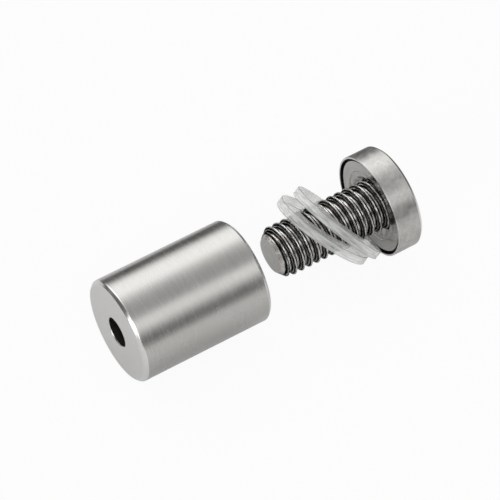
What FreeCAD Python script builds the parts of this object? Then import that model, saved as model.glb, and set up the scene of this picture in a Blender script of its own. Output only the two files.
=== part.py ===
import FreeCAD, Part
import math
import os

# Glass panel standoff, unscrewed as it lies on a bench. Millimetres, +Z up.
# The X axis is the axis of every turned piece. The origin is the centre of the face that meets the wall.

# Barrel: a turned tube that stands the glass off the wall
barrel_diameter = 19.05
barrel_length = 25.4
barrel_edge_bevel = 0.6
back_wall_thickness = 6.0
screw_hole_diameter = 5.5
screw_hole_chamfer = 0.4
drill_point_angle = 118.0
bore_mouth_chamfer = 0.6

# Stud: the screw that joins cap and barrel
stud_diameter = 9.525
stud_running_gap = 0.09
stud_exposed_length = 20.4
stud_tip_chamfer = 1.5
stud_root_chamfer = 0.5
tip_gap = 5.5

# Cap: the turned head with a shallow recess for the washer
cap_diameter = 19.05
cap_thickness = 5.1
cap_edge_bevel = 0.5
cap_rim_width = 0.4
cap_rim_break = 0.12
cap_recess_depth = 0.3
cap_ring_width = 2.4
cap_ring_depth = 0.2
stud_seat_depth = 2.4
stud_seat_gap = 0.05
stud_seat_chamfer = 0.9

# Washers: two soft clear rings, a little narrower than the cap, that lean back with holes along the stud
washer_rim_inset = 0.325
washer_thickness = 1.6
washer_hole_gap = 0.1
washer_roll = 12.0
inner_washer_tilt = 36.0
outer_washer_tilt = 41.0
inner_washer_stand = 0.55
rest_gap = 0.03

# Radii and places that follow from the sizes above
barrel_radius = barrel_diameter / 2.0
stud_radius = stud_diameter / 2.0
bore_radius = stud_radius + stud_running_gap
screw_hole_radius = screw_hole_diameter / 2.0
cap_radius = cap_diameter / 2.0
seat_radius = stud_radius + stud_seat_gap
washer_radius = cap_radius - washer_rim_inset
washer_hole_radius = stud_radius + washer_hole_gap
half_washer = washer_thickness / 2.0
stud_tip_x = barrel_length + tip_gap
cap_rim_x = stud_tip_x + stud_exposed_length
recess_floor_x = cap_rim_x + cap_recess_depth
ring_floor_x = recess_floor_x + cap_ring_depth
stud_end_x = ring_floor_x + stud_seat_depth
cap_top_x = cap_rim_x + cap_thickness


def turned(outline):
    """Revolve a closed outline of (x, radius) points about the X axis."""
    points = [FreeCAD.Vector(x, 0.0, radius) for x, radius in outline]
    wire = Part.makePolygon(points + [points[0]])
    face = Part.Face(wire)
    return face.revolve(FreeCAD.Vector(0, 0, 0), FreeCAD.Vector(1, 0, 0), 360.0)


def make_barrel():
    """A tube with a blind bore from the front and a screw hole through its back wall."""
    point_depth = (bore_radius - screw_hole_radius) / math.tan(math.radians(drill_point_angle / 2.0))
    bore_floor_x = back_wall_thickness + point_depth
    outline = [
        (0.0, screw_hole_radius + screw_hole_chamfer),
        (0.0, barrel_radius - barrel_edge_bevel),
        (barrel_edge_bevel, barrel_radius),
        (barrel_length - barrel_edge_bevel, barrel_radius),
        (barrel_length, barrel_radius - barrel_edge_bevel),
        (barrel_length, bore_radius + bore_mouth_chamfer),
        (barrel_length - bore_mouth_chamfer, bore_radius),
        (bore_floor_x, bore_radius),
        (back_wall_thickness, screw_hole_radius),
        (screw_hole_chamfer, screw_hole_radius),
    ]
    return turned(outline)


def make_cap():
    """A solid disc with a recessed underside and a blind seat for the stud."""
    seat_mouth_radius = seat_radius + stud_seat_chamfer
    rim_inner_radius = cap_radius - cap_rim_width
    ring_outer_radius = rim_inner_radius - cap_ring_width
    outline = [
        (cap_top_x, 0.0),
        (cap_top_x, cap_radius - cap_edge_bevel),
        (cap_top_x - cap_edge_bevel, cap_radius),
        (cap_rim_x + cap_rim_break, cap_radius),
        (cap_rim_x, cap_radius - cap_rim_break),
        (cap_rim_x, rim_inner_radius),
        (recess_floor_x, rim_inner_radius),
        (recess_floor_x, ring_outer_radius),
        (ring_floor_x, ring_outer_radius - cap_ring_depth),
        (ring_floor_x, seat_mouth_radius),
        (ring_floor_x + stud_seat_chamfer, seat_radius),
        (stud_end_x, seat_radius),
        (stud_end_x, 0.0),
    ]
    return turned(outline)


def make_stud():
    """A rod at the thread's outside diameter, with a bevelled tip and a bevelled root."""
    outline = [
        (stud_tip_x, 0.0),
        (stud_tip_x, stud_radius - stud_tip_chamfer),
        (stud_tip_x + stud_tip_chamfer, stud_radius),
        (stud_end_x - stud_root_chamfer, stud_radius),
        (stud_end_x, stud_radius - stud_root_chamfer),
        (stud_end_x, 0.0),
    ]
    return turned(outline)


def lowest_reach(tilt):
    """How far a washer's lower edge reaches along X past its centre, and how far below it."""
    angle = math.radians(tilt)
    along = washer_radius * math.sin(angle) + half_washer * math.cos(angle)
    below = washer_radius * math.cos(angle) - half_washer * math.sin(angle)
    return along, below


def make_washer(x, tilt):
    """A flat ring that leans back round the stud at the place x, with its hole along the stud."""
    ring = Part.makeCylinder(
        washer_radius, washer_thickness, FreeCAD.Vector(-half_washer, 0, 0), FreeCAD.Vector(1, 0, 0))
    ring.rotate(FreeCAD.Vector(0, 0, 0), FreeCAD.Vector(0, 1, 0), -tilt)
    reach = lowest_reach(tilt)[0]
    hole = Part.makeCylinder(
        washer_hole_radius, 2.0 * reach, FreeCAD.Vector(-reach, 0, 0), FreeCAD.Vector(1, 0, 0))
    ring = ring.cut(hole)
    ring.translate(FreeCAD.Vector(x, 0, 0))
    ring.rotate(FreeCAD.Vector(0, 0, 0), FreeCAD.Vector(1, 0, 0), -washer_roll)
    return ring


def washer_places():
    """The X places of the inner and outer washers: the outer one leans against the inner one."""
    inner_x = cap_rim_x - inner_washer_stand - lowest_reach(inner_washer_tilt)[0]
    outer_along, outer_below = lowest_reach(outer_washer_tilt)
    inner_angle = math.radians(inner_washer_tilt)
    face_along = outer_below * math.tan(inner_angle) - (half_washer + rest_gap) / math.cos(inner_angle)
    outer_x = inner_x + face_along - outer_along
    return inner_x, outer_x


def main():
    os.makedirs("parts", exist_ok=True)
    inner_x, outer_x = washer_places()
    pieces = {
        "barrel": make_barrel(),
        "cap": make_cap(),
        "stud": make_stud(),
        "inner_washer": make_washer(inner_x, inner_washer_tilt),
        "outer_washer": make_washer(outer_x, outer_washer_tilt),
    }
    for name, shape in pieces.items():
        shape.exportStep("parts/" + name + ".step")
        print(name, "volume", round(shape.Volume, 2), "valid", shape.isValid())
    print("washers at", round(inner_x, 3), round(outer_x, 3))


main()
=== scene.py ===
import math
import bmesh
import bpy
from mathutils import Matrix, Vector, noise


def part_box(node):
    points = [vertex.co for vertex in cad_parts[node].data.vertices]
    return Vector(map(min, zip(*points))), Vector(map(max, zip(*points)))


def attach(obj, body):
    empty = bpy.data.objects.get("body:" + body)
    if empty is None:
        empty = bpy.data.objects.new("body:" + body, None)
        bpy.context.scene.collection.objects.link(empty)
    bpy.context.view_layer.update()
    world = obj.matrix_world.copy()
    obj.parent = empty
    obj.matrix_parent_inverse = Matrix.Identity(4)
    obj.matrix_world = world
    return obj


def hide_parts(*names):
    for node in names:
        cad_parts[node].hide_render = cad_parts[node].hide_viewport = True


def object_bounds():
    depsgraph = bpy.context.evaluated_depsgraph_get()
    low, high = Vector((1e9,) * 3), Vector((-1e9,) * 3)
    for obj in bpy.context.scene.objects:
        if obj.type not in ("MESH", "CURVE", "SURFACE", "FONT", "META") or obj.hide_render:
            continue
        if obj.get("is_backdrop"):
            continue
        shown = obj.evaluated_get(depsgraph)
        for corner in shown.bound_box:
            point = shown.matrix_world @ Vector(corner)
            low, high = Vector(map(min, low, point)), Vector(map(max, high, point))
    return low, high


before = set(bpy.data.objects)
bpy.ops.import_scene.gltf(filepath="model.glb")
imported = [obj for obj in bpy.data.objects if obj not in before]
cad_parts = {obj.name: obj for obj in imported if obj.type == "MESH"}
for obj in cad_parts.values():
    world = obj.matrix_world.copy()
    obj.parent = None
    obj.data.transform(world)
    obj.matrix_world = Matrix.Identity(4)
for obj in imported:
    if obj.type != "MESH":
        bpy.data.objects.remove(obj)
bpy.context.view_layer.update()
print("frame loaded")

mm = 0.001
white = (1, 1, 1, 1)
black = (0, 0, 0, 1)


# Sockets and nodes

class Flow:
    # one socket of a node tree: sums with it add Math nodes, and node() adds any other node
    def __init__(self, tree, socket=None):
        self.tree = tree
        self.socket = socket

    def node(self, kind, settings=None, values=None, out=0):
        made = self.tree.nodes.new(kind)
        for name, value in (settings or {}).items():
            if name == "stops":
                setStops(made.color_ramp, value)
            else:
                setattr(made, name, value)
        for name, value in (values or {}).items():
            if isinstance(value, Flow):
                self.tree.links.new(value.socket, made.inputs[name])
            else:
                made.inputs[name].default_value = value
        return Flow(self.tree, made.outputs[out] if made.outputs else None)

    def output(self, name):
        return Flow(self.tree, self.socket.node.outputs[name])

    def blend(self, share, low, high):
        # a Mix node keeps its two colours in sockets 6 and 7, and the blend of them in its third output
        return self.node("ShaderNodeMix", {"data_type": "RGBA"}, {0: share, 6: low, 7: high}, out=2)

    def math(self, operation, *terms):
        return self.node("ShaderNodeMath", {"operation": operation}, dict(enumerate(terms)))

    def __add__(self, other):
        return self.math("ADD", self, other)

    def __radd__(self, other):
        return self.math("ADD", other, self)

    def __sub__(self, other):
        return self.math("SUBTRACT", self, other)

    def __rsub__(self, other):
        return self.math("SUBTRACT", other, self)

    def __mul__(self, other):
        return self.math("MULTIPLY", self, other)

    def __rmul__(self, other):
        return self.math("MULTIPLY", other, self)

    def __truediv__(self, other):
        return self.math("DIVIDE", self, other)

    def __rtruediv__(self, other):
        return self.math("DIVIDE", other, self)


def setStops(ramp, stops):
    # new stops start in the middle, and all are then put in their places
    while len(ramp.elements) < len(stops):
        ramp.elements.new(0.5)
    for element, (position, colour) in zip(ramp.elements, stops):
        element.position = position
        element.color = colour


def newMaterial(name):
    material = bpy.data.materials.new(name)
    material.use_nodes = True
    material.node_tree.nodes.clear()
    return material, Flow(material.node_tree)


# Turned pieces

turning = {
    "columns": 128,  # faces round every turned piece, so that thread and barrel meet point to point
    "easeSteps": 5,
    "guardGap": 0.03 * mm,
    "mergeWithin": 0.0005 * mm,
    "thinnestFace": 0.0001 * mm,
    "sharpAngle": 35,
    "roundFrom": 0.12,  # an eased edge is where a normal's share along the axis lies between these two
    "flatFrom": 0.985,
}


def guardRow(end, neighbour):
    # a row just past an eased corner, so that its shading stays off the long side next to it
    share = turning["guardGap"] / (neighbour - end).length
    return end.lerp(neighbour, min(0.5, share))


def easeCorners(corners):
    # each (x, radius, ease) becomes a short curve, with a row just before and after it
    outline = []
    steps = turning["easeSteps"]
    last = len(corners) - 1
    for index, (x, radius, ease) in enumerate(corners):
        corner = Vector((x, radius))
        if ease == 0 or index in (0, last):
            outline.append(corner)
            continue
        before = Vector(corners[index - 1][:2])
        after = Vector(corners[index + 1][:2])
        start = corner + (before - corner).normalized() * ease
        end = corner + (after - corner).normalized() * ease
        outline.append(guardRow(start, before))
        for step in range(steps + 1):
            share = step / steps
            outline.append(start.lerp(corner, share).lerp(corner.lerp(end, share), share))
        outline.append(guardRow(end, after))
    return outline


def turnInto(mesh, outline, closed=False):
    # spins an outline of (x, radius) about the X axis
    columns = turning["columns"]
    rings = []
    for x, radius in outline:
        ring = []
        for column in range(columns):
            angle = 2 * math.pi * column / columns
            ring.append(mesh.verts.new((x, radius * math.cos(angle), radius * math.sin(angle))))
        rings.append(ring)
    pairs = list(zip(rings, rings[1:]))
    if closed:
        pairs.append((rings[-1], rings[0]))
    for near, far in pairs:
        for column in range(columns):
            beside = (column + 1) % columns
            mesh.faces.new((near[column], near[beside], far[beside], far[column]))


def finishMesh(mesh, name, materials, sharpAngle=turning["sharpAngle"]):
    bmesh.ops.remove_doubles(mesh, verts=mesh.verts, dist=turning["mergeWithin"])
    bmesh.ops.dissolve_degenerate(mesh, edges=mesh.edges, dist=turning["thinnestFace"])
    bmesh.ops.recalc_face_normals(mesh, faces=mesh.faces)
    data = bpy.data.meshes.new(name)
    mesh.to_mesh(data)
    mesh.free()
    for material in materials:
        data.materials.append(material)
    data.shade_smooth()
    data.set_sharp_from_angle(angle=math.radians(sharpAngle))
    piece = bpy.data.objects.new(name, data)
    bpy.context.scene.collection.objects.link(piece)
    return piece


def markEdges(mesh, edgeIndex):
    # gives the eased edges of a turned piece their own finish
    mesh.normal_update()
    for face in mesh.faces:
        if turning["roundFrom"] < abs(face.normal.x) < turning["flatFrom"]:
            face.material_index = edgeIndex


# Thread

threadSizes = {
    "pitch": 1.5875 * mm,
    "rowsPerTurn": 20,
    "crestFlat": 0.16 * mm,
    "slope": math.sqrt(3),  # rise over run of a 60 degree thread
    "edgeRound": 0.2 * mm,
    "crestAt": 0.5,  # where in each turn the crest stands
    "endRow": 0.00001,  # the first and last rows lie within this share of the length
}


def threadTree():
    # a helical ridge or groove round the X axis, between two X places, in rows that follow the helix
    # Side is 1 for a thread on a rod and -1 for one in a bore
    tree = bpy.data.node_groups.new("threadRows", "GeometryNodeTree")
    for name, kind in (
        ("Pitch", "NodeSocketFloat"), ("Start", "NodeSocketFloat"), ("End", "NodeSocketFloat"),
        ("Outer Radius", "NodeSocketFloat"), ("Inner Radius", "NodeSocketFloat"),
        ("Outer Flat", "NodeSocketFloat"), ("Slope", "NodeSocketFloat"), ("Edge Round", "NodeSocketFloat"),
        ("Start Radius", "NodeSocketFloat"), ("End Radius", "NodeSocketFloat"),
        ("Side", "NodeSocketFloat"), ("Close Ends", "NodeSocketFloat"),
        ("Rows Per Turn", "NodeSocketInt"), ("Columns", "NodeSocketInt"),
        ("Material", "NodeSocketMaterial"),
    ):
        tree.interface.new_socket(name=name, in_out="INPUT", socket_type=kind)
    tree.interface.new_socket(name="Geometry", in_out="OUTPUT", socket_type="NodeSocketGeometry")
    flow = Flow(tree)
    sizes = flow.node("NodeGroupInput")
    pitch, start, end = sizes.output("Pitch"), sizes.output("Start"), sizes.output("End")
    outer, inner, side = sizes.output("Outer Radius"), sizes.output("Inner Radius"), sizes.output("Side")
    rows = sizes.output("Rows Per Turn")
    spare = 1 / rows  # a row at each end for every column, before the ends close
    # the rows slant by a whole turn from the first column to the last, so there is one turn more of them
    turns = flow.math("CEIL", (end - start) / pitch + spare * 2) + 1
    gridSize = 1.0
    grid = flow.node("GeometryNodeMeshGrid", values={
        "Size X": gridSize, "Size Y": gridSize,
        "Vertices X": turns * rows + 1, "Vertices Y": sizes.output("Columns") + 1})
    spot = flow.node("ShaderNodeSeparateXYZ", values={0: flow.node("GeometryNodeInputPosition")})
    row = spot.output("X") + gridSize / 2
    around = spot.output("Y") + gridSize / 2
    # rows past an end are drawn back to it, so that the seam and both ends close
    along = start + pitch * (row * turns - 1 - spare + around)
    place = flow.math("MAXIMUM", start, flow.math("MINIMUM", end, along))
    phase = flow.math("FRACT", place / pitch - around)
    offCrest = flow.math("ABSOLUTE", phase - threadSizes["crestAt"]) * pitch
    offFlat = offCrest - sizes.output("Outer Flat") / 2
    edge = sizes.output("Edge Round")
    flank = flow.math("SMOOTH_MIN", outer, outer - sizes.output("Slope") * offFlat, edge)
    profile = flow.math("SMOOTH_MAX", inner, flank, edge)
    startCone = side * sizes.output("Start Radius") + (place - start)
    endCone = side * sizes.output("End Radius") + (end - place)
    radius = side * flow.math("MINIMUM", side * profile, flow.math("MINIMUM", startCone, endCone))
    endRow = threadSizes["endRow"]
    body = flow.math("GREATER_THAN", row, endRow) * flow.math("LESS_THAN", row, 1 - endRow)
    radius = radius * flow.math("MAXIMUM", body, 1 - sizes.output("Close Ends"))
    angle = around * (2 * math.pi)
    target = flow.node("ShaderNodeCombineXYZ", values={
        "X": place, "Y": radius * flow.math("COSINE", angle), "Z": radius * flow.math("SINE", angle)})
    shaped = flow.node("GeometryNodeSetPosition", values={"Geometry": grid, "Position": target})
    merged = flow.node("GeometryNodeMergeByDistance", values={
        "Geometry": shaped, "Distance": turning["mergeWithin"]})
    real = flow.node("GeometryNodeRealizeInstances", values={"Geometry": merged})
    painted = flow.node("GeometryNodeSetMaterial", values={
        "Geometry": real, "Material": sizes.output("Material")})
    flow.node("NodeGroupOutput", values={"Geometry": painted})
    return tree


def growThread(tree, name, values):
    # runs the tree with these inputs and gives back its plain mesh
    holder = bpy.data.objects.new(name + "Grower", bpy.data.meshes.new(name + "Seed"))
    bpy.context.scene.collection.objects.link(holder)
    modifier = holder.modifiers.new("thread", "NODES")
    modifier.node_group = tree
    for item in tree.interface.items_tree:
        if item.in_out == "INPUT":
            modifier[item.identifier] = values[item.name]
    graph = bpy.context.evaluated_depsgraph_get()
    data = bpy.data.meshes.new_from_object(holder.evaluated_get(graph), depsgraph=graph)
    holder.modifiers.clear()
    bpy.data.objects.remove(holder)
    return data


def threadInputs(material, places):
    # what both threads share, and the places of this one
    values = {
        "Pitch": threadSizes["pitch"], "Slope": threadSizes["slope"],
        "Edge Round": threadSizes["edgeRound"], "Rows Per Turn": threadSizes["rowsPerTurn"],
        "Columns": turning["columns"], "Material": material,
    }
    values.update(places)
    return values


# Finishes

noiseMiddle = 0.5  # a noise texture runs from 0 to 1 round this
noiseRoughness = 0.5

brushing = {
    "spiral": 1.37,  # how fast the lines' pattern moves with the radius, which draws rings on the flat ends
    "broadSpacing": 9,  # broad lines, as multiples of the fine ones
    "broadLength": 3,
    "fineDetail": 2.0,
    "broadDetail": 3.0,
    "lineRoughness": 0.6,
    "cloudDetail": 3.0,
    "fineShare": 0.55,
    "broadShare": 0.45,
    "darkAt": 0.3,
    "lightAt": 0.7,
    "fineDepth": 0.8,
    "broadDepth": 0.2,
}

satinLook = {
    "colour": (0.555, 0.548, 0.53, 1),
    "darkColour": (0.475, 0.468, 0.452, 1),
    "roughness": 0.26,
    "roughnessSpread": 0.1,
    "lineSpacing": 0.07 * mm,
    "lineLength": 1.6 * mm,
    "lineDepth": 0.004 * mm,
    "cloudScale": 260.0,
    "cloudShare": 0.06,
}

capLook = {
    "colour": (0.6, 0.592, 0.574, 1),
    "darkColour": (0.43, 0.423, 0.408, 1),
    "roughness": 0.36,
    "roughnessSpread": 0.16,
    "lineSpacing": 0.2 * mm,
    "lineLength": 0.6 * mm,
    "lineDepth": 0.012 * mm,
    "cloudScale": 900.0,
    "cloudShare": 0.7,
}


def placeOnAxis(flow):
    # Object coordinates, their three numbers, and the distance from the axis of the turned pieces
    where = flow.node("ShaderNodeTexCoord", out="Object")
    x = flow.node("ShaderNodeSeparateXYZ", values={0: where})
    y, z = x.output("Y"), x.output("Z")
    return where, x, y, z, flow.math("SQRT", y * y + z * z)


def noiseAt(flow, place, scale, detail, roughness=noiseRoughness):
    return flow.node("ShaderNodeTexNoise", values={
        "Vector": place, "Scale": scale, "Detail": detail, "Roughness": roughness})


def streaksAt(flow, across, y, z, spacing, length, detail, roughness=noiseRoughness):
    # noise that is squeezed across the streaks and drawn out along them
    place = flow.node("ShaderNodeCombineXYZ", values={
        "X": across / spacing, "Y": y / length, "Z": z / length})
    return noiseAt(flow, place, 1.0, detail, roughness)


def brushedSteel(name, look):
    # fine lines round the axis on the sides, and rings on the flat ends
    material, flow = newMaterial(name)
    where, x, y, z, radius = placeOnAxis(flow)
    across = x + radius * brushing["spiral"]
    fine = streaksAt(
        flow, across, y, z, look["lineSpacing"], look["lineLength"],
        brushing["fineDetail"], brushing["lineRoughness"])
    broad = streaksAt(
        flow, across, y, z, look["lineSpacing"] * brushing["broadSpacing"],
        look["lineLength"] * brushing["broadLength"], brushing["broadDetail"], brushing["lineRoughness"])
    clouds = noiseAt(flow, where, look["cloudScale"], brushing["cloudDetail"])
    lines = fine * brushing["fineShare"] + broad * brushing["broadShare"]
    mixed = lines + (clouds - noiseMiddle) * look["cloudShare"]
    light = flow.node("ShaderNodeMapRange", values={
        "Value": mixed, "From Min": brushing["darkAt"], "From Max": brushing["lightAt"]})
    colour = flow.blend(light, look["darkColour"], look["colour"])
    roughness = look["roughness"] + (broad + clouds - 2 * noiseMiddle) * look["roughnessSpread"]
    bump = flow.node("ShaderNodeBump", values={
        "Strength": 1.0, "Distance": look["lineDepth"],
        "Height": fine * brushing["fineDepth"] + broad * brushing["broadDepth"]})
    shader = flow.node("ShaderNodeBsdfPrincipled", values={
        "Base Color": colour, "Metallic": 1.0, "Roughness": roughness, "Normal": bump})
    flow.node("ShaderNodeOutputMaterial", values={"Surface": shader})
    return material


edgeLook = {
    "colour": (0.79, 0.785, 0.77, 1),
    "roughness": 0.14,
}

# painted shade: near black steel for inside the screw hole and the cap's groove, where shade falls
paintedShadeLook = {
    "colour": (0.07, 0.068, 0.066, 1),
    "roughness": 0.45,
}

wearing = {
    "scale": 900.0,
    "detail": 4.0,
    "shade": 0.86,
    "depth": 0.004 * mm,
    "strength": 0.4,
    "roughness": 0.12,
}


def wornSteel(name, look):
    # plain metal with small worn spots, for bright edges and for the painted shade inside the screw hole
    # and the cap's groove
    material, flow = newMaterial(name)
    spot = flow.node("ShaderNodeTexCoord", out="Object")
    wear = noiseAt(flow, spot, wearing["scale"], wearing["detail"])
    worn = tuple(channel * wearing["shade"] for channel in look["colour"][:3]) + (1,)
    bump = flow.node("ShaderNodeBump", values={
        "Strength": wearing["strength"], "Distance": wearing["depth"], "Height": wear})
    shader = flow.node("ShaderNodeBsdfPrincipled", values={
        "Base Color": flow.blend(wear, look["colour"], worn), "Metallic": 1.0,
        "Roughness": look["roughness"] + wear * wearing["roughness"], "Normal": bump})
    flow.node("ShaderNodeOutputMaterial", values={"Surface": shader})
    return material


threadLook = {
    # these colours paint the thread's light and shade: highlights on crest, glint and root, shade on the
    # flanks
    "crest": (0.96, 0.95, 0.935, 1),
    "paintedGlint": (0.7, 0.69, 0.68, 1),
    "flank": (0.012, 0.012, 0.012, 1),
    "root": (0.76, 0.725, 0.7, 1),
    "bands": [
        # how far up from the root to the crest, and the colour there: painted highlights at the root and
        # crest, painted shade on the flanks, and a painted glint between
        (0.0, "root"), (0.06, "root"), (0.16, "flank"), (0.41, "flank"),
        (0.5, "paintedGlint"), (0.59, "flank"), (0.83, "flank"), (0.9, "crest"),
    ],
    "edgeTint": (0.35, 0.35, 0.35, 1),
    "roughness": 0.05,
    "wearRoughness": 0.08,
    "rootRoughness": 0.05,
    "wearScale": 1400.0,
    "wearDetail": 4.0,
    "streakSpacing": 0.13 * mm,
    "streakLength": 1.2 * mm,
    "streakDetail": 2.0,
    "streakShare": 0.4,  # how far the streaks move the bands
    "tracks": 12.0,  # ripples left by the rolls, as radians from the root to the crest
    "trackDepth": 0.05 * mm,
    "scratchDepth": 0.02 * mm,
    "scratchStrength": 0.5,
    "scratchWear": 0.3,
    "scratchStreaks": 0.7,
}


def threadSteelWithPaintedLight(name, look, crest, root):
    # painted light on a thread: crests and roots painted bright as painted highlights, flanks painted dark
    # as painted shade, and a painted glint along each flank crest and root are the thread's two radii
    material, flow = newMaterial(name)
    where, x, y, z, radius = placeOnAxis(flow)
    height = flow.node("ShaderNodeMapRange", values={
        "Value": radius, "From Min": root, "From Max": crest})
    wear = noiseAt(flow, where, look["wearScale"], look["wearDetail"])
    streaks = streaksAt(
        flow, x + radius * brushing["spiral"], y, z,
        look["streakSpacing"], look["streakLength"], look["streakDetail"])
    level = height + (streaks - noiseMiddle) * look["streakShare"]
    stops = [(place, look[colourName]) for place, colourName in look["bands"]]
    # the ramp paints highlights and shade onto the thread by its height
    colour = flow.node("ShaderNodeValToRGB", {"stops": stops}, {"Fac": level})
    tracks = flow.math("COSINE", level * look["tracks"])
    coarse = flow.node("ShaderNodeBump", values={
        "Strength": 1.0, "Distance": look["trackDepth"], "Height": tracks})
    bump = flow.node("ShaderNodeBump", values={
        "Strength": look["scratchStrength"], "Distance": look["scratchDepth"],
        "Height": wear * look["scratchWear"] + streaks * look["scratchStreaks"], "Normal": coarse})
    roughness = (look["roughness"] + wear * look["wearRoughness"]
                 + (1 - height) * look["rootRoughness"])
    shader = flow.node("ShaderNodeBsdfPrincipled", values={
        "Base Color": colour, "Metallic": 1.0, "Roughness": roughness, "Specular Tint": look["edgeTint"],
        "Normal": bump})
    flow.node("ShaderNodeOutputMaterial", values={"Surface": shader})
    return material


vinylLook = {
    "colour": (0.98, 0.99, 0.96, 1),
    "cloudColour": (0.8, 0.81, 0.78, 1),
    "alpha": 0.46,
    "streakAlpha": 0.6,
    "transmission": 0.5,
    "roughness": 0.12,
}

vinylRimLook = {
    "colour": (0.98, 0.99, 0.97, 1),
    "cloudColour": (0.78, 0.79, 0.76, 1),
    "alpha": 0.54,
    "streakAlpha": 0.9,
    "transmission": 0.28,
    "roughness": 0.12,
}

# painted shade: the washers' eased edges are painted dark for the dark lines that a clear sheet shows at
# its edges
vinylPaintedEdgeShadeLook = {
    "colour": (0.38, 0.4, 0.37, 1),
    "cloudColour": (0.28, 0.3, 0.27, 1),
    "alpha": 0.85,
    "streakAlpha": 0.2,
    "transmission": 0.1,
    "roughness": 0.1,
}

vinylSheet = {
    # what the flats, rim and edges of a washer have in common
    "ior": 1.35,
    "hazeScale": 260.0,
    "hazeDetail": 2.0,
    "hazeRoughness": 0.1,
    "streakSpacing": 0.36 * mm,
    "streakLength": 3.0 * mm,
    "streakDetail": 3.0,
    "hazeShare": 0.4,
    "streakShare": 0.6,
    "cloudyAt": 0.38,
    "clearAt": 0.58,
    "surfaceDepth": 0.09 * mm,
    "streakHeight": 0.8,
    "hazeHeight": 0.2,
}


def clearVinyl(name, look):
    # hazy sheet with streaks round the ring, which show in its colour, its alpha and its surface
    sheet = vinylSheet
    material, flow = newMaterial(name)
    where = flow.node("ShaderNodeTexCoord", out="Object")
    spot = flow.node("ShaderNodeSeparateXYZ", values={0: where})
    haze = noiseAt(flow, where, sheet["hazeScale"], sheet["hazeDetail"])
    grain = flow.node("ShaderNodeAttribute", {"attribute_name": "grain"}, out="Fac")
    streaks = streaksAt(
        flow, grain, spot.output("Y"), spot.output("Z"),
        sheet["streakSpacing"], sheet["streakLength"], sheet["streakDetail"])
    cloud = flow.node("ShaderNodeMapRange", values={
        "Value": haze * sheet["hazeShare"] + streaks * sheet["streakShare"],
        "From Min": sheet["cloudyAt"], "From Max": sheet["clearAt"]})
    bump = flow.node("ShaderNodeBump", values={
        "Strength": 1.0, "Distance": sheet["surfaceDepth"],
        "Height": streaks * sheet["streakHeight"] + haze * sheet["hazeHeight"]})
    shader = flow.node("ShaderNodeBsdfPrincipled", values={
        "Base Color": flow.blend(cloud, look["cloudColour"], look["colour"]),
        "Roughness": look["roughness"] + haze * sheet["hazeRoughness"], "IOR": sheet["ior"],
        "Transmission Weight": look["transmission"], "Normal": bump,
        "Alpha": look["alpha"] + (streaks - noiseMiddle) * look["streakAlpha"]})
    flow.node("ShaderNodeOutputMaterial", values={"Surface": shader})
    return material


turnedLook = {
    "colour": (0.62, 0.61, 0.595, 1),
    "darkColour": (0.36, 0.355, 0.345, 1),
    "roughness": 0.13,
    "roughnessSpread": 0.06,
    "lineSpacing": 0.1 * mm,
    "lineLength": 4.0 * mm,
    "lineDepth": 0.006 * mm,
    "cloudScale": 260.0,
    "cloudShare": 0.2,
}

facedLook = {
    "colour": (0.72, 0.715, 0.7, 1),
    "darkColour": (0.64, 0.635, 0.62, 1),
    "roughness": 0.24,
    "roughnessSpread": 0.08,
    "lineSpacing": 0.1 * mm,
    "lineLength": 4.0 * mm,
    "lineDepth": 0.004 * mm,
    "cloudScale": 260.0,
    "cloudShare": 0.06,
}

satinSteel = brushedSteel("satinSteel", satinLook)
capSteel = brushedSteel("capSteel", capLook)
edgeSteel = wornSteel("edgeSteel", edgeLook)
turnedSteel = brushedSteel("turnedSteel", turnedLook)
facedSteel = brushedSteel("facedSteel", facedLook)
paintedShadeSteel = wornSteel("paintedShadeSteel", paintedShadeLook)
flatVinyl = clearVinyl("clearVinyl", vinylLook)
rimVinyl = clearVinyl("vinylRim", vinylRimLook)
paintedEdgeShadeVinyl = clearVinyl("vinylPaintedEdgeShade", vinylPaintedEdgeShadeLook)
print("finishes made")


# Barrel

barrelSizes = {
    "screwHole": 2.75 * mm,
    "holeChamfer": 0.16 * mm,
    "backWall": 6.0 * mm,
    "boreFloor": 7.2632 * mm,  # where the cone of a 118 degree drill meets the bore
    "bore": 4.8525 * mm,  # the stud's radius and 0.09 mm to run in
    "boreMouth": 5.4525 * mm,
    "threadTop": 4.02 * mm,
    "threadGroove": 0.26 * mm,
    "bevel": 0.6 * mm,
    "bevelEase": 0.19 * mm,
    "wallEase": 0.1 * mm,
    "holeEase": 0.05 * mm,
    "holeEdgeEase": 0.06 * mm,
}


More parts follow.
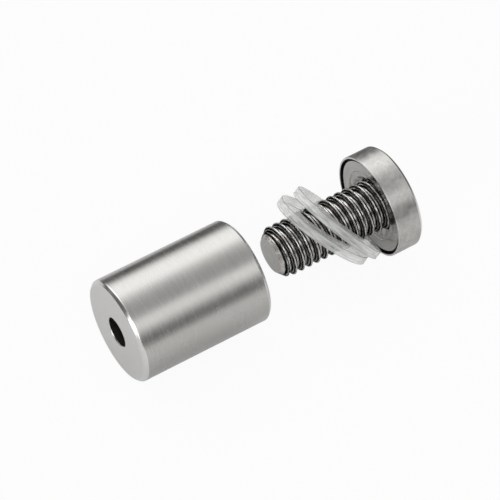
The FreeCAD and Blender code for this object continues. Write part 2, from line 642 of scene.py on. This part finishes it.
def makeBarrel(tree):
    size = barrelSizes
    low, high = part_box("barrel")
    back, front, radius = low.x, high.x, high.z
    hole = size["screwHole"]
    outline = easeCorners([
        (size["boreFloor"], size["bore"], 0),
        (size["backWall"], hole, size["wallEase"]),
        (back + size["holeChamfer"], hole, size["holeEase"]),
        (back, hole + size["holeChamfer"], size["holeEdgeEase"]),
        (back, radius - size["bevel"], size["bevelEase"]),
        (back + size["bevel"], radius, size["bevelEase"]),
        (front - size["bevel"], radius, size["bevelEase"]),
        (front, radius - size["bevel"], size["bevelEase"]),
        (front, size["boreMouth"], 0),
    ])
    finishes = [satinSteel, edgeSteel, paintedShadeSteel, facedSteel]
    paintedShade, faced = finishes.index(paintedShadeSteel), finishes.index(facedSteel)
    mesh = bmesh.new()
    turnInto(mesh, outline)
    markEdges(mesh, finishes.index(edgeSteel))
    for face in mesh.faces:
        # the ends are faced, and the inside of the screw hole is painted near black as painted shade
        middle = face.calc_center_median()
        reach = math.hypot(middle.y, middle.z)
        if reach < size["bore"] and middle.x > size["holeChamfer"]:
            face.material_index = paintedShade
        elif reach < size["bore"] or abs(face.normal.x) > turning["flatFrom"]:
            face.material_index = faced
    boreThread = growThread(tree, "bore", threadInputs(satinSteel, {
        "Start": size["boreFloor"], "End": front, "Outer Radius": size["bore"],
        "Inner Radius": size["threadTop"], "Outer Flat": size["threadGroove"],
        "Start Radius": size["bore"], "End Radius": size["boreMouth"], "Side": -1.0, "Close Ends": 0.0}))
    mesh.from_mesh(boreThread)
    bpy.data.meshes.remove(boreThread)
    piece = finishMesh(mesh, "barrelBody", finishes)
    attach(piece, "barrel")
    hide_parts("barrel")
    print("barrel made")


# Stud

studSizes = {
    "root": 3.72 * mm,
    "tipBevel": 1.5 * mm,
    "endBevel": 0.5 * mm,
    "endFrom": 0.99,  # a face is on an end when its normal's share along the axis is more than this
    "sharpAngle": 38,
}


def makeStud(tree):
    size = studSizes
    low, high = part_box("stud")
    radius = high.z
    steel = threadSteelWithPaintedLight("threadSteelWithPaintedLight", threadLook, radius, size["root"])
    finishes = [steel, turnedSteel]
    data = growThread(tree, "stud", threadInputs(steel, {
        "Start": low.x, "End": high.x, "Outer Radius": radius,
        "Inner Radius": size["root"], "Outer Flat": threadSizes["crestFlat"],
        "Start Radius": radius - size["tipBevel"], "End Radius": radius - size["endBevel"],
        "Side": 1.0, "Close Ends": 1.0}))
    mesh = bmesh.new()
    mesh.from_mesh(data)
    bpy.data.meshes.remove(data)
    mesh.normal_update()
    for face in mesh.faces:
        onEnd = abs(face.normal.x) > size["endFrom"]
        face.material_index = finishes.index(turnedSteel if onEnd else steel)
    piece = finishMesh(mesh, "studThread", finishes, size["sharpAngle"])
    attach(piece, "cap_and_stud")
    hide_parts("stud")
    print("stud made")


# Cap

capSizes = {
    "rimWidth": 0.35 * mm,
    "recess": 0.3 * mm,
    "grooveWidth": 0.5 * mm,
    "grooveDepth": 0.7 * mm,
    "ringWidth": 1.95 * mm,
    "ringDepth": 0.2 * mm,
    "seat": 4.8125 * mm,  # the stud's radius and 0.05 mm
    "seatDepth": 2.4 * mm,
    "seatChamfer": 0.9 * mm,
    "topBevel": 0.5 * mm,
    "topEase": 0.1 * mm,
    "rimEase": 0.12 * mm,
    "rimInnerEase": 0.04 * mm,
    "grooveEase": 0.1 * mm,
    "grooveEdgeEase": 0.06 * mm,
    "ringEase": 0.05 * mm,
    "seatMouthEase": 0.08 * mm,
    "seatEase": 0.05 * mm,
    "seatEndEase": 0.1 * mm,
    "within": 0.01 * mm,  # how near a face lies to the place that gives its finish
}


def makeCap():
    size = capSizes
    low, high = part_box("cap")
    rim, top, radius = low.x, high.x, high.z
    recess = rim + size["recess"]
    groove = recess + size["grooveDepth"]
    ring = recess + size["ringDepth"]
    rimInner = radius - size["rimWidth"]
    grooveInner = rimInner - size["grooveWidth"]
    ringOuter = grooveInner - size["ringWidth"]
    seatEnd = ring + size["seatDepth"]
    outline = easeCorners([
        (top, 0, 0),
        (top, radius - size["topBevel"], size["topEase"]),
        (top - size["topBevel"], radius, size["topEase"]),
        (rim, radius, size["rimEase"]),
        (rim, rimInner, size["rimInnerEase"]),
        (groove, rimInner, size["grooveEase"]),
        (groove, grooveInner, size["grooveEase"]),
        (recess, grooveInner, size["grooveEdgeEase"]),
        (recess, ringOuter, size["ringEase"]),
        (ring, ringOuter - size["ringDepth"], size["ringEase"]),
        (ring, size["seat"] + size["seatChamfer"], size["seatMouthEase"]),
        (ring + size["seatChamfer"], size["seat"], size["seatEase"]),
        (seatEnd, size["seat"], size["seatEndEase"]),
        (seatEnd, 0, 0),
    ])
    finishes = [capSteel, edgeSteel, turnedSteel, paintedShadeSteel, facedSteel]
    edge, turned, paintedShade, faced = (
        finishes.index(finish) for finish in (edgeSteel, turnedSteel, paintedShadeSteel, facedSteel))
    near = size["within"]
    mesh = bmesh.new()
    turnInto(mesh, outline)
    markEdges(mesh, edge)
    for face in mesh.faces:
        # the top is faced, the underside is turned, its groove is painted near black as painted shade, and
        # the rim is bright
        middle = face.calc_center_median()
        reach = math.hypot(middle.y, middle.z)
        if middle.x > top - near:
            face.material_index = faced
        elif middle.x < rim + near:
            face.material_index = edge
        elif reach < rimInner + 2 * near and middle.x < seatEnd + near:
            # the groove's faces get the painted shade, the rest of the underside the turned finish
            face.material_index = paintedShade if reach > grooveInner - 2 * near else turned
    piece = finishMesh(mesh, "capBody", finishes)
    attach(piece, "cap_and_stud")
    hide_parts("cap")
    print("cap made")


# Washers

washerSizes = {
    "radius": 9.2 * mm,
    "holeGap": 0.1 * mm,
    "thickness": 1.6 * mm,
    "edgeEase": 0.17 * mm,
    "unevenness": 0.05 * mm,
    "dentSpacing": 2.5 * mm,
    "seedSkew": 0.7,  # moves the pattern of dents sideways too, from one seed to the next
}


def washerPlace(node):
    # the solid's own middle and lean: the widest face of its mesh is on one of the ring's flats
    low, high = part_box(node)
    normal = max(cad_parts[node].data.polygons, key=lambda face: face.area).normal.copy()
    if normal.x < 0:
        normal.negate()
    return (low + high) / 2, normal.normalized()


def makeWasher(node, name, seed):
    # a flat ring whose hole is stretched along the stud that it leans on
    size = washerSizes
    half, outer = size["thickness"] / 2, size["radius"]
    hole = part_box("stud")[1].z + size["holeGap"]
    middle, normal = washerPlace(node)
    alongLean = (Vector((1, 0, 0)) - normal * normal.x).normalized()
    acrossLean = normal.cross(alongLean)
    drift = alongLean.x / normal.x  # how far the hole slides along the lean for each step through the ring
    corners = []
    for x, radius in ((-half, hole), (-half, outer), (half, outer), (half, hole)):
        corners.append((x, radius, size["edgeEase"]))
    # the outline closes on itself, so the last and first corners are neighbours
    outline = easeCorners([corners[-1]] + corners + [corners[0]])[1:-1]
    mesh = bmesh.new()
    turnInto(mesh, outline, closed=True)
    # the streaks follow the ring as it was before it leaned
    grain = mesh.verts.layers.float.new("grain")
    for vert in mesh.verts:
        vert[grain] = vert.co.x + brushing["spiral"] * math.hypot(vert.co.y, vert.co.z)
    finishes = [flatVinyl, paintedEdgeShadeVinyl, rimVinyl]
    # the eased edges get the painted dark edge lines
    markEdges(mesh, finishes.index(paintedEdgeShadeVinyl))
    for face in mesh.faces:
        if abs(face.normal.x) <= turning["roundFrom"]:
            face.material_index = finishes.index(rimVinyl)
    shift = Vector((seed, seed * size["seedSkew"], 0))
    for vert in mesh.verts:
        x, flat = vert.co.x, Vector((vert.co.y, vert.co.z))
        share = (flat.length - hole) / (outer - hole)
        # soft sheet: the edges are a little uneven, always inside the true ring
        dent = 0.5 + 0.5 * noise.noise(vert.co / size["dentSpacing"] + shift)
        share += (0.5 - share) * dent * size["unevenness"] / (outer - hole)
        flat.normalize()
        inside = alongLean * (x * drift + flat.x * hole / normal.x) + acrossLean * (flat.y * hole)
        outside = (alongLean * flat.x + acrossLean * flat.y) * outer
        vert.co = middle + normal * x + inside.lerp(outside, share)
    piece = finishMesh(mesh, name, finishes)
    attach(piece, "washers")
    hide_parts(node)
    print(name, "made")


thread = threadTree()
makeBarrel(thread)
makeStud(thread)
makeCap()
makeWasher("inner_washer", "innerWasher", seed=3.1)
makeWasher("outer_washer", "outerWasher", seed=8.6)


# Floor, light and camera

floorLook = {
    "size": 6.0,
    "colour": (0.86, 0.86, 0.86, 1),
    "cameraWhite": 0.93,
    "mirrorWhite": 0.15,
    # the part of the floor that only the metal sees dark: a painted dark reflection
    "darkTowards": (0.6, 0.8),
    "darkFrom": 40 * mm,
    "darkTo": 75 * mm,
    "paintedReflectionShade": 0.85,
}

studioBands = [
    # degrees round the object's axis, from straight up towards the front, and brightness
    (-90, 0.1), (-84, 0.18), (-76, 0.85), (-64, 1.65), (-34, 1.72), (-20, 0.95), (-8, 0.62), (2, 0.55),
    (14, 0.5), (24, 0.6), (32, 1.25), (46, 1.3), (56, 0.8), (66, 0.3), (76, 0.15), (82, 0.3), (90, 0.5),
]

studioEnds = {
    "left": 0.14,
    "right": 0.42,
    "from": 0.46,
    "to": 0.76,
}

lamps = {
    # direction towards the lamp, distance, width, height, radiance
    "leftSoftbox": ((-0.88, -0.32, 0.35), 0.75, 0.5, 0.45, 2.2),
}

cameraPlace = {
    "azimuth": -32.2,
    "elevation": 52.03,
    "distance": 0.55,
    "lens": 230,
    "aim": Vector((27.72, 1.54, 2.15)) * mm,
    "clipNear": 0.01,
    "clipFar": 20,
}


def makeFloor():
    # white paper that keeps the shadow, but is paler than its own light to the camera, through the
    # washers and in the metal
    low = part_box("barrel")[0].z
    half = floorLook["size"] / 2
    data = bpy.data.meshes.new("floor")
    corners = [(-half, -half, low), (half, -half, low), (half, half, low), (-half, half, low)]
    data.from_pydata(corners, [], [(0, 1, 2, 3)])
    material, flow = newMaterial("floorPaper")
    paper = flow.node("ShaderNodeBsdfDiffuse", values={"Color": floorLook["colour"], "Roughness": 1.0})
    glow = flow.node("ShaderNodeEmission", values={"Color": white, "Strength": 1.0})
    cameraRay = flow.node("ShaderNodeLightPath", out="Is Camera Ray")
    glossyRay = cameraRay.output("Is Glossy Ray")
    seen = flow.math("MAXIMUM", cameraRay, cameraRay.output("Is Transmission Ray"))
    share = flow.math("MAXIMUM", seen * floorLook["cameraWhite"], glossyRay * floorLook["mirrorWhite"])
    pale = flow.node("ShaderNodeMixShader", values={0: share, 1: paper, 2: glow})
    # behind and right of the object the floor is painted dark for glossy rays only, a painted dark
    # reflection which draws the metal's far edges
    spot = flow.node("ShaderNodeSeparateXYZ", values={0: flow.node("ShaderNodeTexCoord", out="Object")})
    right, back = floorLook["darkTowards"]
    behind = flow.node("ShaderNodeMapRange", {"interpolation_type": "SMOOTHSTEP"}, {
        "Value": spot * right + spot.output("Y") * back, "From Min": floorLook["darkFrom"],
        "From Max": floorLook["darkTo"], "To Max": floorLook["paintedReflectionShade"]})
    dark = flow.node("ShaderNodeBsdfDiffuse", values={"Color": black})
    surface = flow.node("ShaderNodeMixShader", values={0: glossyRay * behind, 1: pale, 2: dark})
    flow.node("ShaderNodeOutputMaterial", values={"Surface": surface})
    data.materials.append(material)
    floor = bpy.data.objects.new("floor", data)
    bpy.context.scene.collection.objects.link(floor)
    floor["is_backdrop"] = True


def lightStudio():
    world = bpy.data.worlds.new("studio")
    world.use_nodes = True
    world.node_tree.nodes.clear()
    flow = Flow(world.node_tree)
    direction = flow.node("ShaderNodeTexCoord", out="Generated")
    towards = flow.node("ShaderNodeSeparateXYZ", values={0: direction})
    turn = flow.math("ARCTAN2", 0 - towards.output("Y"), towards.output("Z"))
    stops = []
    for degrees, level in studioBands:
        # straight up is the middle of the ramp, and the whole ramp is one turn
        stops.append((0.5 + degrees / 360, (level, level, level, 1)))
    bands = flow.node("ShaderNodeValToRGB", {"stops": stops}, {"Fac": turn / (2 * math.pi) + 0.5})
    side = flow.node("ShaderNodeMapRange", {"interpolation_type": "SMOOTHSTEP"}, {
        "Value": flow.math("ABSOLUTE", towards.output("X")),
        "From Min": studioEnds["from"], "From Max": studioEnds["to"]})
    left, right = studioEnds["left"], studioEnds["right"]
    onRight = flow.math("GREATER_THAN", towards.output("X"), 0.0)
    end = flow.blend(onRight, (left, left, left, 1), (right, right, right, 1))
    sky = flow.blend(side, bands, end)
    light = flow.node("ShaderNodeBackground", values={"Color": sky, "Strength": 1.0})
    flow.node("ShaderNodeOutputWorld", values={"Surface": light})
    bpy.context.scene.world = world
    middle = sum(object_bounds(), Vector()) / 2
    for name, (direction, distance, width, height, radiance) in lamps.items():
        data = bpy.data.lights.new(name, "AREA")
        data.shape = "RECTANGLE"
        data.size, data.size_y = width, height
        data.energy = radiance * math.pi * width * height
        lamp = bpy.data.objects.new(name, data)
        towardsLamp = Vector(direction).normalized()
        lamp.location = middle + towardsLamp * distance
        lamp.rotation_mode = "QUATERNION"
        lamp.rotation_quaternion = towardsLamp.to_track_quat("Z", "Y")
        lamp.visible_camera = False
        bpy.context.scene.collection.objects.link(lamp)


def placeCamera():
    azimuth = math.radians(cameraPlace["azimuth"])
    elevation = math.radians(cameraPlace["elevation"])
    back = Vector((
        math.sin(azimuth) * math.cos(elevation),
        -math.cos(azimuth) * math.cos(elevation),
        math.sin(elevation)))
    data = bpy.data.cameras.new("camera")
    data.lens = cameraPlace["lens"]
    data.clip_start, data.clip_end = cameraPlace["clipNear"], cameraPlace["clipFar"]
    camera = bpy.data.objects.new("camera", data)
    camera.location = cameraPlace["aim"] + back * cameraPlace["distance"]
    camera.rotation_mode = "QUATERNION"
    camera.rotation_quaternion = (-back).to_track_quat("-Z", "Y")
    bpy.context.scene.collection.objects.link(camera)
    bpy.context.scene.camera = camera


makeFloor()
lightStudio()
placeCamera()
bpy.context.scene.view_settings.view_transform = "Standard"
print("stage, light and camera placed")
